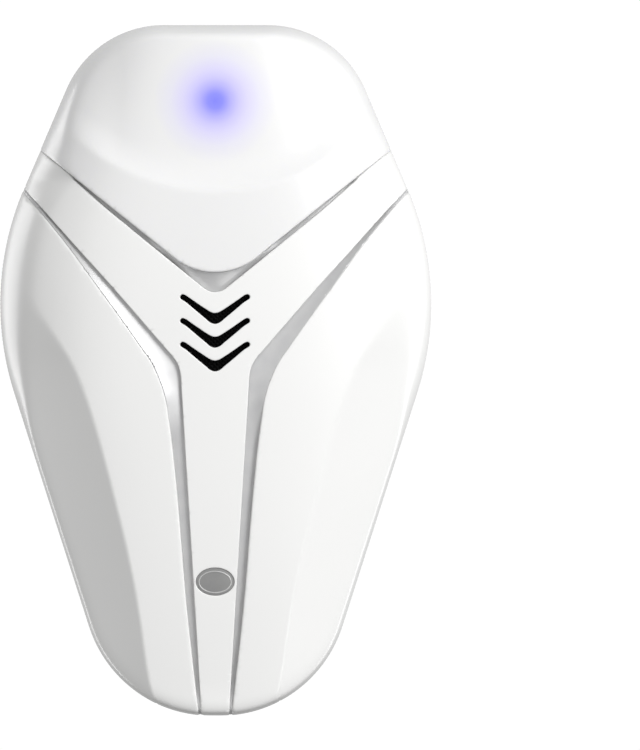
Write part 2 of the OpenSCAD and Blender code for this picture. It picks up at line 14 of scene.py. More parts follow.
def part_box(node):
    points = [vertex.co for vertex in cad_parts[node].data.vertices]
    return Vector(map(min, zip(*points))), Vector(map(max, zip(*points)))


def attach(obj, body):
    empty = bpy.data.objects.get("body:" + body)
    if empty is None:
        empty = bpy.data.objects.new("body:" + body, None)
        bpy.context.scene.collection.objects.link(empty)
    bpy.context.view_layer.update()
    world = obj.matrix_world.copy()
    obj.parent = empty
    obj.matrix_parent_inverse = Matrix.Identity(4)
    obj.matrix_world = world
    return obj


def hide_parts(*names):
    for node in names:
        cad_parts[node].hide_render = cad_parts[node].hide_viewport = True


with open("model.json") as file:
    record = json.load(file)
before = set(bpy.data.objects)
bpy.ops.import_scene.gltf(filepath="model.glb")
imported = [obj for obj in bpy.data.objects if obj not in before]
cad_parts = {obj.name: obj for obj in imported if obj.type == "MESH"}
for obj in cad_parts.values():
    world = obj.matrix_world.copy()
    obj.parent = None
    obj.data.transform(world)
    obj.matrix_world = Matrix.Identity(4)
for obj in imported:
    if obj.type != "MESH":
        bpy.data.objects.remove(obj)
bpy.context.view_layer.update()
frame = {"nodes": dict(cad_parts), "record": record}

MM = 0.001


# ---------------------------------------------------------------- driving dimensions, from the frame
def node_box(name):
    low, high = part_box(name)
    return np.array(low) / MM, np.array(high) / MM


BASE_LOW, BASE_HIGH = node_box("plug_base")
BODY_W = 65.0
BODY_H = 104.0
# Height of the plug's middle above the body's bottom
PLUG_H = 57.0
# From the outlet face to the parting plane, and from there to the crown of the front
REAR_D = -node_box("front_cover")[1][1]
FRONT_D = 19.0
PLUG_PROUD = -node_box("rear_cover")[1][1]
WALL = 2.0
CAP_WALL = 1.7
MID = np.array([0.0, BODY_H / 2])

# Outline corners as (across, height, radius), right half from the bottom up
CORNERS = [
    (0.2277 * BODY_W, 0.0, 19.3),
    (0.5448 * BODY_W, 0.6173 * BODY_H, 44.0),
    (0.2831 * BODY_W, BODY_H, 16.0),
]

# How far the shoulder line lies inside the outline, by height
BAND = [
    (0, 2.8), (8, 2.4), (20, 2.0), (42, 2.2), (52, 4.0), (62, 6.0),
    (73, 6.3), (84, 5.6), (91, 3.5), (97, 2.8), (104, 2.7),
]
# Flank crease, distance from the centre line by height
CREASE = [
    (0, 8.6), (6, 10), (16, 11.45), (24, 12.95), (33, 15.1), (42, 17.5),
    (48, 19.4), (53, 21.5), (58, 24.7), (62, 27.5), (65, 29), (72, 29.4), (104, 29.4),
]
CREASE_SOFT = 0.25
SHOULDER_RISE = 0.5
SHOULDER_SOFT = 1.0
# The side wall is near upright low down and leans in further up: lean, height of the change and its length
DRAFT = 0.7
DRAFT_TO = 38
DRAFT_TURN = 16
# Fall of the face towards the sides, its part by the square and its part by the fourth power
CROWN_FLAT = 4.2
CROWN_ROUND = 6.2
# Distance from the centre line at which the face has fallen to the sides in full, by height
CROWN_REACH = [(0, 32), (62, 32), (72, 30.8), (82, 27.6), (92, 23.6), (104, 19.5)]
# Height of the crown, and the fall of the face from there to the bottom and to the top
CROWN_H = 60.0
CROWN_BOTTOM = 5.0
CROWN_TOP = 3.4
FLANK_FALL = math.tan(math.radians(43))
FLANK_HOLLOW = 0.008
# A skin draws in by SEAM_IN over its last SEAM_H before the parting plane
SEAM_IN = 0.32
SEAM_H = 0.4

# Step down behind the cap's lip, between two arcs: (height of the arc's centre, radius)
FOREHEAD_DROP = 1.6
LIP_ARC = (109.5, 30.7)
FOREHEAD_ARC = (120.3, 35.6)
# V edges: (height at the centre, slope, tip radius)
CAP_EDGE = (63.87, 0.8, 9.9)
SPINE_EDGE = (62.93, 0.808, 2.6)
# The V gap closes towards the outline: (distance from the centre line, length of the change, lift)
VEE_CLOSE = (15, 13, 0.8)
# Right side of the spine panel, of the trim strip's outer edge and of the wing's edge, from the bottom up
SPINE_SIDE = [
    (2.1, -2), (2.25, 3), (5.06, 49.5), (5.16, 51.2), (5.5, 52.6), (6.2, 53.8), (7.4, 55.2),
    (15.7, 64.7), (19.9, 69.3), (28.75, 79.1), (42, 93.9),
]
WING_SIDE = [
    (2.15, -2), (2.98, 4.8), (4.38, 17.8), (5.5, 31.4), (6.35, 40), (6.95, 44.7), (7.45, 48),
    (8.25, 50.5), (9.5, 53.2), (11.3, 55.8), (14.2, 59.9), (17.5, 64.4), (22, 70.5), (25.5, 74.85),
    (28.9, 78.8), (42, 93.3),
]

# Chevron slots, from the top down
SLOT_COUNT = 3
SLOT_PITCH = 3.56
SLOT_END_R = 0.41
SLOT_REACH = 4.85
SLOT_TOP = 62.95
BADGE = (0.0, 20.3)
BADGE_HALF = (2.9, 2.1)
LAMP = (0.0, 92.3)

SPINE_DROP = 0.3
SPINE_T = 1.4
TRIM_T = 0.4
# Plated strip: depth beside the stem, climb to the wing, and the heights over which the climb sets in
STRIP_DEPTH = 1.05
STRIP_CLIMB = 1.0
STRIP_FLAT_TO = 40
STRIP_TURN = 9
STRIP_BEND = 1.3
VEE_DEPTH = 1.4
VEE_CLIMB = 0.95
# Share of a groove's depth that is left at the outline, and how far in it has all of it
GROOVE_END = 0.12
GROOVE_RUN = 5

COVER_SCREWS = [(-24, 65), (24, 65), (-10, 11), (10, 11)]
SCREW_WELL_R = 2.9
SCREW_HOLE_R = 1.4
REAR_ROUND = 5.0
REAR_SQUARE = 2.4
BOSS_H = 15.0
BOSS_GAP = 0.3
BASE_FLANGE = 3
BLADE_HOLE = (0, 11.7)
BLADE_HOLE_R = 1.6
BLADE_TIP_R = 1.9

# Point spacing of the skins, and the parallels of the outline that carry points
FRONT_STEP = 0.6
FRONT_RIM = [
    0.003, 0.01, 0.024, 0.045, 0.08, 0.13, 0.2, 0.3, 0.43, 0.6, 0.82, 1.1, 1.45, 1.85, 2.3, 2.8, 3.3, 3.8,
]
REAR_STEP = 0.8
REAR_RIM = [0.01, 0.03, 0.07, 0.14, 0.25, 0.4, 0.6, 0.85, 1.2, 1.6, 2.1, 2.7, 3.4, 4.2, 5.0]
RIM_LEAD = 0.12
RIM_GAP = 0.02
# Edges sharper than this stay sharp on the shells, in degrees
SHELL_ANGLE = 55
# Triangles smaller than this lie along a straight run of the outline and are left out, in mm2
SLIVER_AREA = 1e-5


# ---------------------------------------------------------------- curves
def corner_arc(a, b, c, r, n, inset=0.0):
    """Points of the arc that rounds corner b between a and c, moved inwards by inset."""
    a, b, c = (np.array(p, float) for p in (a, b, c))
    u = (a - b) / np.linalg.norm(a - b)
    v = (c - b) / np.linalg.norm(c - b)
    half = math.acos(float(u @ v)) / 2
    centre = b + (u + v) / np.linalg.norm(u + v) * r / math.sin(half)
    start = b + u * r / math.tan(half) - centre
    end = b + v * r / math.tan(half) - centre
    first = math.atan2(start[1], start[0])
    turn = (math.atan2(end[1], end[0]) - first + 3 * math.pi) % (2 * math.pi) - math.pi
    angles = first + turn * np.linspace(0, 1, n + 1)
    return centre + (r - inset) * np.column_stack([np.cos(angles), np.sin(angles)])


def mirrored(points):
    return points[::-1] * (-1, 1)


def outline(inset=0.0, steps=40):
    """The body's outline as a closed loop, moved inwards by inset."""
    c = CORNERS
    ends = [(-c[0][0], c[0][1])] + [p[:2] for p in c] + [(-c[-1][0], c[-1][1])]
    half = np.vstack([
        corner_arc(ends[i], ends[i + 1], ends[i + 2], c[i][2], steps, inset) for i in range(len(c))
    ])
    return np.vstack([half, mirrored(half)])


def closed(points):
    return np.vstack([points, points[:1]])


def resampled(points, step):
    """Points spaced evenly along a polyline."""
    lengths = np.linalg.norm(np.diff(points, axis=0), axis=1)
    along = np.concatenate([[0], np.cumsum(lengths)])
    n = max(2, int(round(along[-1] / step)))
    at = np.linspace(0, along[-1], n + 1)
    return np.column_stack([np.interp(at, along, points[:, k]) for k in (0, 1)])


def smooth_curve(points, step):
    """A Catmull-Rom curve through the points, spaced evenly."""
    p = np.array(points, float)
    p = np.vstack([2 * p[0] - p[1], p, 2 * p[-1] - p[-2]])
    t = np.linspace(0, 1, 24, endpoint=False)[:, None]
    out = []
    for i in range(1, len(p) - 2):
        a, b, c, d = p[i - 1:i + 3]
        gap = np.linalg.norm(c - b)
        m0 = (c - a) / (np.linalg.norm(c - b) + np.linalg.norm(b - a)) * gap
        m1 = (d - b) / (np.linalg.norm(d - c) + np.linalg.norm(c - b)) * gap
        out.append((2 * t**3 - 3 * t**2 + 1) * b + (t**3 - 2 * t**2 + t) * m0
                   + (3 * t**2 - 2 * t**3) * c + (t**3 - t**2) * m1)
    out.append(p[-2:-1])
    return resampled(np.vstack(out), step)


def vee(edge, step=0.45):
    """A V with a rounded tip, from its left arm to its right."""
    height, slope, radius = edge
    left, right = (-42, height + 42 * slope), (42, height + 42 * slope)
    tip = corner_arc(left, (0, height), right, radius, 30)
    return resampled(np.vstack([[left], tip, [right]]), step)


def side_curves(points, step=0.45):
    right = smooth_curve(points, step)
    return right, mirrored(right)


def from_table(table):
    """A smooth function through a table of (height, value)."""
    curve = smooth_curve(table, 0.25)
    return lambda h: np.interp(h, curve[:, 0], curve[:, 1])


def distance_to(points, line):
    """Distance of each point to a polyline."""
    a, b = line[:-1], line[1:]
    ab = b - a
    keep = (ab**2).sum(1) > 1e-12
    a, ab = a[keep], ab[keep]
    best = np.full(len(points), 1e9)
    for first in range(0, len(points), 4000):
        p = points[first:first + 4000, None, :] - a
        t = np.clip((p * ab).sum(2) / (ab**2).sum(1), 0, 1)
        best[first:first + 4000] = np.sqrt(((p - t[..., None] * ab)**2).sum(2)).min(1)
    return best


def inside(points, loop):
    """Which points lie inside a closed loop."""
    x, y = points[:, 0], points[:, 1]
    hit = np.zeros(len(points), bool)
    for (x0, y0), (x1, y1) in zip(loop, np.roll(loop, -1, axis=0)):
        if y0 != y1:
            hit ^= ((y0 > y) != (y1 > y)) & (x < (x1 - x0) * (y - y0) / (y1 - y0) + x0)
    return hit


def ease(v):
    t = np.clip(v, 0, 1)
    return t * t * (3 - 2 * t)


def soft_min(a, b, k):
    return np.minimum(a, b) - np.maximum(k - np.abs(a - b), 0)**2 / (4 * k)


OUTLINE = closed(outline())
band_at = from_table(BAND)
crown_reach_at = from_table(CROWN_REACH)
crease_at = from_table(CREASE)
CAP_LINE = vee(CAP_EDGE)
SPINE_TOP_LINE = vee(SPINE_EDGE)
SPINE_TOP_LINE[:, 1] += VEE_CLOSE[2] * ease((np.abs(SPINE_TOP_LINE[:, 0]) - VEE_CLOSE[0]) / VEE_CLOSE[1])
SPINE_RIGHT, SPINE_LEFT = side_curves(SPINE_SIDE)
WING_RIGHT, WING_LEFT = side_curves(WING_SIDE)


# ---------------------------------------------------------------- the front and rear skins
def face_rise(x, h):
    below = (np.maximum(CROWN_H - h, 0) / CROWN_H)**2
    above = (np.maximum(h - CROWN_H, 0) / (BODY_H - CROWN_H))**2
    out = np.minimum(np.abs(x) / crown_reach_at(h), 1.05)
    side = CROWN_FLAT * out**2 + CROWN_ROUND * out**4
    return FRONT_D - side - CROWN_BOTTOM * below - CROWN_TOP * above


def forehead_step(x, h):
    """How far the cap's face steps down behind its lip, along the crescent."""
    lip = LIP_ARC[1] - np.hypot(x, h - LIP_ARC[0])
    forehead = FOREHEAD_ARC[1] - np.hypot(x, h - FOREHEAD_ARC[0])
    between = lip / np.maximum(lip - forehead, 1e-6)
    t = np.where(lip <= 0, 0, np.where(forehead >= 0, 1, between))
    return FOREHEAD_DROP * t * (2 - t) * (1 - ease((np.abs(x) - 14) / 10))


def flank_rise(x, h):
    crease = crease_at(h)
    outside = np.abs(x) - crease
    hollow = FLANK_HOLLOW * outside * np.maximum(outside, 0)
    return face_rise(crease, h) - FLANK_FALL * outside + hollow


def quarter(t):
    """Quarter circle that rises steeply from 0 and is level at 1."""
    return np.sqrt(1 - (1 - np.minimum(t, 1))**2)


def front_rise(p):
    """Height of the front skin over the parting plane."""
    x, h = p[:, 0], p[:, 1]
    depth = np.where(inside(p, OUTLINE), distance_to(p, OUTLINE), 0)
    face = soft_min(face_rise(x, h) - forehead_step(x, h), flank_rise(x, h), CREASE_SOFT)
    band = band_at(h)
    draft = DRAFT + (band - DRAFT) * ease((h - DRAFT_TO) / DRAFT_TURN)
    wall = (face + SHOULDER_RISE - band) * quarter(depth / draft) + band * quarter(depth / band)
    return np.maximum(soft_min(wall, face, SHOULDER_SOFT), 0)


def rear_rise(p):
    """Depth of the rear skin behind the parting plane."""
    depth = np.where(inside(p, OUTLINE), distance_to(p, OUTLINE), 0)
    t = 1 - np.minimum(depth / REAR_ROUND, 1)
    return (REAR_D - PLUG_PROUD) * (1 - t**REAR_SQUARE)**(1 / REAR_SQUARE)


def normals(rise, p):
    """Unit normals of a skin as (x, h, forward), taken a hair inside the outline."""
    e = 0.01
    q = MID + (p - MID) * 0.9992
    gx = (rise(q + (e, 0)) - rise(q - (e, 0))) / (2 * e)
    gh = (rise(q + (0, e)) - rise(q - (0, e))) / (2 * e)
    n = np.column_stack([-gx, -gh, np.ones(len(p))])
    return n / np.linalg.norm(n, axis=1)[:, None]


def to_row(points):
    """Front-view millimetres (x, h, f) to the row frame in metres."""
    p = np.asarray(points, float)
    return np.column_stack([p[:, 0], -p[:, 2], p[:, 1] - PLUG_H]) * MM


# ---------------------------------------------------------------- meshes
def add_piece(name, points, faces, material, node=None):
    """A mesh piece from row-frame points in metres."""
    mesh = bpy.data.meshes.new(name)
    mesh.from_pydata([tuple(p) for p in points], [], [tuple(f) for f in faces])
    mesh.validate()
    mesh.polygons.foreach_set("use_smooth", [True] * len(mesh.polygons))
    piece = bpy.data.objects.new(name, mesh)
    bpy.context.scene.collection.objects.link(piece)
    mesh.materials.append(material)
    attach(piece, "root")
    if node:
        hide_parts(node)
    return piece


def crisp(piece, degrees):
    """Keeps edges sharper than the angle sharp under smooth shading."""
    piece.data.set_sharp_from_angle(angle=math.radians(degrees))


def triangulated(lines, free):
    """Delaunay triangles over constraint polylines and free points."""
    points, edges = [], []
    for line, is_loop in lines:
        first = len(points)
        points.extend(line)
        n = len(line)
        edges.extend((first + i, first + i + 1) for i in range(n - 1))
        if is_loop:
            edges.append((first + n - 1, first))
    points.extend(free)
    result = geometry.delaunay_2d_cdt([Vector(p) for p in points], edges, [], 0, 1e-5, False)
    return np.array([tuple(v) for v in result[0]]), np.array([tuple(f) for f in result[2]])


def parallels(line, offsets):
    """Copies of a polyline moved to both sides."""
    d = np.gradient(line, axis=0)
    d /= np.linalg.norm(d, axis=1)[:, None]
    side = np.column_stack([-d[:, 1], d[:, 0]])
    return [line + side * o * s for o in offsets for s in (-1, 1)]


def rim_of(faces):
    """Directed edges that only one triangle uses."""
    edges = np.vstack([faces[:, [0, 1]], faces[:, [1, 2]], faces[:, [2, 0]]])
    keys = {tuple(e) for e in edges}
    return [e for e in keys if (e[1], e[0]) not in keys]


def shell(faces, outer, inner):
    """Closed shell between two surfaces that share their triangles."""
    used, index = np.unique(faces, return_inverse=True)
    faces = index.reshape(faces.shape)
    n = len(used)
    walls = [(b, a, a + n, b + n) for a, b in rim_of(faces)]
    all_faces = [tuple(f) for f in faces] + [tuple(f[::-1] + n) for f in faces] + walls
    return np.vstack([outer[used], inner[used]]), all_faces


def rounding(distance, radius):
    """How far a rounded edge falls away at a distance from it."""
    gap = np.clip(radius - distance, 0, radius)
    return radius - np.sqrt(np.maximum(radius**2 - gap**2, 0))


def seam_in(base):
    """How far a skin draws in where it meets the parting plane."""
    return SEAM_IN * np.clip(1 - base / SEAM_H, 0, 1)


class Skin:
    """A triangulated front view with its skin heights and normals."""

    def __init__(self, rise, lines, free):
        self.points, self.faces = triangulated(lines, free)
        a, b, c = (self.points[self.faces[:, k]] for k in range(3))
        area = np.abs((b - a)[:, 0] * (c - a)[:, 1] - (b - a)[:, 1] * (c - a)[:, 0]) / 2
        keep = inside(self.points[self.faces].mean(1), OUTLINE) & (area > SLIVER_AREA)
        self.faces = self.faces[keep]
        self.base = rise(self.points)
        self.normal = normals(rise, self.points)
        self.centres = self.points[self.faces].mean(1)

    def sunk(self, depth):
        """Points of the skin moved inwards by depth, no lower than the parting plane."""
        solid = np.column_stack([self.points, self.base]) - self.normal * np.reshape(depth, (-1, 1))
        level = self.normal[:, :2]
        outward = level / np.maximum(np.linalg.norm(level, axis=1), 1e-6)[:, None]
        solid[:, :2] -= outward * seam_in(self.base)[:, None]
        solid[:, 2] = np.maximum(solid[:, 2], 0)
        return solid


def front_row(solid):
    return to_row(solid + (0, 0, REAR_D))


def rear_row(solid):
    return to_row(solid * (1, 1, -1) + (0, 0, REAR_D))


def slot_outline(h):
    """One chevron slot: arms that swell from small round ends to the middle."""
    high = [(0.0, -2.4), (0.6, -2.26), (1.2, -1.92), (2.5, -1.06), (3.6, -0.3), (4.4, 0.25)]
    a = np.linspace(math.radians(115), math.radians(-45), 8)
    end = np.column_stack([SLOT_REACH + SLOT_END_R * np.cos(a), SLOT_END_R * np.sin(a)])
    low = [(4.35, -0.8), (3.3, -1.68), (2.2, -2.6), (1.35, -3.3), (0.75, -3.8), (0.0, -4.04)]
    half = np.vstack([high, end, low]) + (0, h)
    return smooth_loop(np.vstack([half[::-1][:-1], mirrored(half)[::-1][:-1]]), 0.16)


def smooth_loop(points, step):
    """A closed Catmull-Rom loop, spaced evenly."""
    wrapped = np.vstack([points[-2:], points, points[:3]])
    curve = smooth_curve(wrapped, step / 2)
    start = np.linalg.norm(curve - points[0], axis=1)
    first = int(np.argmin(start[: len(curve) // 2]))
    last = len(curve) // 2 + int(np.argmin(start[len(curve) // 2:]))
    return resampled(curve[first:last + 1], step)[:-1]


def ellipse(centre, half, step):
    a = np.linspace(0, 2 * math.pi, 200)
    loop = np.column_stack([centre[0] + half[0] * np.cos(a), centre[1] + half[1] * np.sin(a)])
    return resampled(loop, step)[:-1]


def grid(step, inset):
    """Staggered points over the inside of the outline."""
    xs = np.arange(-BODY_W / 2, BODY_W / 2, step)
    hs = np.arange(0, BODY_H, step * 0.866)
    p = np.array([(x + (step / 2 if j % 2 else 0), h) for j, h in enumerate(hs) for x in xs])
    return p[inside(p, closed(outline(inset)))]


def rings(insets, step):
    """Points on parallels of the outline, each slightly ahead of the last so that no diagonal is a tie."""
    rim = resampled(OUTLINE, step)[:-1]
    along = np.roll(rim, -1, axis=0) - np.roll(rim, 1, axis=0)
    along /= np.linalg.norm(along, axis=1)[:, None]
    inward = np.column_stack([-along[:, 1], along[:, 0]])
    return [rim + inward * i + along * RIM_LEAD * i for i in insets]


def with_crossings(line, insets):
    """The line with extra points where it crosses parallels of the outline."""
    fine = resampled(line, 0.02)
    depth = np.where(inside(fine, OUTLINE), 1, -1) * distance_to(fine, OUTLINE)
    lengths = np.concatenate([[0], np.cumsum(np.linalg.norm(np.diff(fine, axis=0), axis=1))])
    at = list(np.linspace(0, lengths[-1], len(line)))
    for inset in [0.0] + list(insets):
        side = depth - inset
        for i in np.nonzero(side[:-1] * side[1:] < 0)[0]:
            t = side[i] / (side[i] - side[i + 1])
            at.append(lengths[i] + t * (lengths[i + 1] - lengths[i]))
    at = np.array(sorted(at))
    at = at[np.concatenate([[True], np.diff(at) > 1e-4])]
    return np.column_stack([np.interp(at, lengths, fine[:, k]) for k in (0, 1)])


def thinned(free, lines, gap):
    """Free points that keep a gap to every constraint line."""
    for line, is_loop in lines:
        path = closed(line) if is_loop else line
        free = free[distance_to(free, path) > gap]
    return free


# ---------------------------------------------------------------- materials
def linear(r, g, b):
    """Linear colour from display values of 0 to 255."""
    parts = (r / 255, g / 255, b / 255)
    return tuple((c / 12.92 if c <= 0.04045 else ((c + 0.055) / 1.055)**2.4) for c in parts) + (1,)


class Shader:
    """Small helper for a node material round one Principled shader."""

    def __init__(self, name):
        self.material = bpy.data.materials.new(name)
        self.material.use_nodes = True
        self.tree = self.material.node_tree
        self.bsdf = self.tree.nodes["Principled BSDF"]
        self.coords = self.node("ShaderNodeTexCoord").outputs["Object"]

    def node(self, kind, **values):
        made = self.tree.nodes.new(kind)
        for key, value in values.items():
            setattr(made, key, value)
        return made

    def link(self, source, target):
        self.tree.links.new(source, target)

    def noise(self, scale, detail, stretch=(1, 1, 1)):
        mapping = self.node("ShaderNodeMapping")
        mapping.inputs["Scale"].default_value = stretch
        self.link(self.coords, mapping.inputs["Vector"])
        noise = self.node("ShaderNodeTexNoise")
        noise.inputs["Scale"].default_value = scale
        noise.inputs["Detail"].default_value = detail
        self.link(mapping.outputs["Vector"], noise.inputs["Vector"])
        return noise.outputs["Fac"]

    def ramp(self, value, stops):
        ramp = self.node("ShaderNodeValToRGB")
        while len(ramp.color_ramp.elements) < len(stops):
            ramp.color_ramp.elements.new(0.5)
        for element, (at, colour) in zip(ramp.color_ramp.elements, stops):
            element.position = at
            element.color = colour
        self.link(value, ramp.inputs["Fac"])
        return ramp.outputs["Color"]

    def span(self, value, low, high, from_low=0.0, from_high=1.0):
        node = self.node("ShaderNodeMapRange")
        node.inputs["From Min"].default_value = from_low
        node.inputs["From Max"].default_value = from_high
        node.inputs["To Min"].default_value = low
        node.inputs["To Max"].default_value = high
        self.link(value, node.inputs["Value"])
        return node.outputs["Result"]

    def feed(self, value, target):
        """Links a socket, or sets a plain value."""
        if hasattr(value, "is_linked"):
            self.link(value, target)
        else:
            target.default_value = value

    def mix(self, factor, a, b):
        node = self.node("ShaderNodeMix", data_type="RGBA")
        for index, value in ((0, factor), (6, a), (7, b)):
            self.feed(value, node.inputs[index])
        return node.outputs[2]

    def bump(self, height, strength, distance, after=None):
        node = self.node("ShaderNodeBump")
        node.inputs["Strength"].default_value = strength
        node.inputs["Distance"].default_value = distance
        self.link(height, node.inputs["Height"])
        if after is not None:
            self.link(after, node.inputs["Normal"])
        return node.outputs["Normal"]

    def set(self, **values):
        for key, value in values.items():
            self.feed(value, self.bsdf.inputs[key.replace("_", " ")])
        return self.material


def shade(colour, factor):
    return tuple(min(1, c * factor) for c in colour[:3]) + (1,)


def moulded(name, colour, rough, grain, grain_strength, variation):
    """Moulded plastic: faint mottling, uneven gloss and a fine skin texture."""
    s = Shader(name)
    cloud = s.noise(60, 2)
    tint = s.ramp(cloud, [(0.3, shade(colour, 1 - variation)), (0.7, shade(colour, 1 + variation * 0.5))])
    gloss = s.span(s.noise(180, 4), rough * 0.85, rough * 1.2, 0.3, 0.7)
    skin = s.bump(s.noise(grain, 2), grain_strength, 0.00002)
    return s.set(Base_Color=tint, Roughness=gloss, Normal=skin, IOR=1.5)


def white_abs():
    """Glossy white plastic, with painted shade that darkens its colour in corners and grooves."""
    s = Shader("white_abs")
    base = linear(238, 238, 237)
    cloud = s.ramp(s.noise(45, 1), [(0.2, shade(base, 0.99)), (0.8, shade(base, 1.005))])
    # Painted shade: ambient occlusion within 2 mm pulls the colour down to 0.8 of the base.
    corner = s.node("ShaderNodeAmbientOcclusion", samples=6)
    corner.inputs["Distance"].default_value = 0.002
    shadow = s.span(corner.outputs["AO"], 0.0, 1.0, 0.15, 0.75)
    tint = s.mix(shadow, shade(base, 0.8), cloud)
    gloss = s.span(s.noise(140, 2), 0.22, 0.28, 0.15, 0.85)
    waves = s.bump(s.noise(90, 2), 0.05, 0.0001)
    skin = s.bump(s.noise(1500, 2), 0.06, 0.00002, after=waves)
    return s.set(Base_Color=tint, Roughness=gloss, Normal=skin, IOR=1.5)


def milky_cap():
    """White cap with the lamp's light painted on: a painted glow in its colour and emission that fades with
    distance from the lamp.
    """
    s = Shader("milky_cap")
    base = linear(233, 233, 233)
    lamp = Vector((LAMP[0] * MM, 0, (LAMP[1] - PLUG_H) * MM))
    apart = s.node("ShaderNodeVectorMath", operation="SUBTRACT")
    apart.inputs[1].default_value = lamp
    s.link(s.coords, apart.inputs[0])
    flat = s.node("ShaderNodeVectorMath", operation="MULTIPLY")
    flat.inputs[1].default_value = (1, 0, 1)
    s.link(apart.outputs["Vector"], flat.inputs[0])
    reach = s.node("ShaderNodeVectorMath", operation="LENGTH")
    s.link(flat.outputs["Vector"], reach.inputs[0])
    radius = s.span(reach.outputs["Value"], 0, 1, 0, 0.0094)
    # Painted glow: the colour turns blue towards the lamp, standing in for its light shining through the cap.
    glow = s.ramp(radius, [
        (0.0, linear(126, 128, 244)), (0.12, linear(138, 140, 248)), (0.18, linear(158, 156, 246)),
        (0.26, linear(180, 176, 247)), (0.38, linear(203, 198, 244)), (0.52, linear(217, 213, 242)),
        (0.72, linear(227, 226, 237)), (0.98, base),
    ])
    # The painted glow, faintly mottled.
    cloud = s.mix(s.span(s.noise(45, 2), 0.0, 0.03, 0.3, 0.7), glow, linear(225, 225, 225))
    gloss = s.span(s.noise(140, 2), 0.22, 0.27, 0.15, 0.85)
    skin = s.bump(s.noise(1500, 2), 0.05, 0.00002)
    # Painted glow: the cap itself emits blue light, strongest over the lamp.
    light = s.ramp(radius, [(0.0, (0.10, 0.11, 0.75, 1)), (0.35, (0.05, 0.05, 0.25, 1)), (0.8, (0, 0, 0, 1))])
    return s.set(Base_Color=cloud, Roughness=gloss, Normal=skin, IOR=1.5, Emission_Color=light,
                 Emission_Strength=0.12, Subsurface_Weight=0.15, Subsurface_Radius=(0.001, 0.001, 0.0012))


def plated_trim():
    s = Shader("plated_trim")
    grain = s.noise(420, 3)
    tint = s.ramp(grain, [(0.3, linear(199, 199, 200)), (0.7, linear(205, 205, 205))])
    gloss = s.span(s.noise(300, 3), 0.4, 0.48, 0.3, 0.7)
    skin = s.bump(s.noise(2400, 2), 0.05, 0.00002)
    return s.set(Base_Color=tint, Roughness=gloss, Normal=skin, Metallic=0.5)


def grey_inlay():
    s = Shader("grey_inlay")
    tint = s.ramp(s.noise(300, 3), [(0.3, linear(140, 140, 140)), (0.7, linear(154, 154, 153))])
    gloss = s.span(s.noise(500, 3), 0.32, 0.45, 0.3, 0.7)
    skin = s.bump(s.noise(2500, 2), 0.1, 0.00002)
    return s.set(Base_Color=tint, Roughness=gloss, Normal=skin, Metallic=0.25)


def inlay_line():
    # Pale paint on the badge's raised line: a painted highlight along it, on top of the real light that the
    # bead's shape catches.
    s = Shader("inlay_line")
    tint = s.ramp(s.noise(400, 3), [(0.3, linear(196, 196, 196)), (0.7, linear(212, 212, 211))])
    gloss = s.span(s.noise(500, 3), 0.25, 0.36, 0.3, 0.7)
    return s.set(Base_Color=tint, Roughness=gloss, Metallic=0.3)


def black_mesh():
    s = Shader("black_mesh")
    weave = s.node("ShaderNodeTexWave", wave_type="BANDS", bands_direction="DIAGONAL")
    weave.inputs["Scale"].default_value = 900
    s.link(s.coords, weave.inputs["Vector"])
    tint = s.ramp(weave.outputs["Fac"], [(0.2, (0.002, 0.002, 0.002, 1)), (0.8, (0.008, 0.008, 0.008, 1))])
    skin = s.bump(weave.outputs["Fac"], 0.5, 0.00005)
    return s.set(Base_Color=tint, Roughness=0.95, Normal=skin, Specular_IOR_Level=0.02)


def metal(name, low, high, rough, scale=300, stretch=(1, 1, 1), wear=None):
    """Metal with streaks or grain in its colour, roughness and surface."""
    s = Shader(name)
    streak = s.noise(scale, 4, stretch)
    tint = s.ramp(streak, [(0.3, low), (0.7, high)])
    if wear:
        edge = s.span(s.node("ShaderNodeNewGeometry").outputs["Pointiness"], 0, 1, 0.52, 0.62)
        tint = s.mix(edge, tint, wear)
    gloss = s.span(s.noise(scale * 0.6, 4), rough * 0.75, rough * 1.3, 0.3, 0.7)
    skin = s.bump(streak, 0.15, 0.00003)
    return s.set(Base_Color=tint, Roughness=gloss, Normal=skin, Metallic=1.0)


WHITE = white_abs()
CAP = milky_cap()
TRIM = plated_trim()
INLAY = grey_inlay()
INLAY_LINE = inlay_line()
MESH = black_mesh()
PLUG_WHITE = moulded("plug_plastic", linear(232, 232, 229), 0.42, 700, 0.2, 0.02)
NICKEL = metal("plated_brass", linear(186, 182, 170), linear(214, 211, 202), 0.2, 500, (1, 0.05, 1),
               wear=linear(190, 160, 100))


# ---------------------------------------------------------------- front pieces
def band_between(right, left):
    """Closed loop between a right side and its mirror image."""
    return np.vstack([right, left])


def above(points, line):
    return points[:, 1] > np.interp(points[:, 0], line[:, 0], line[:, 1])


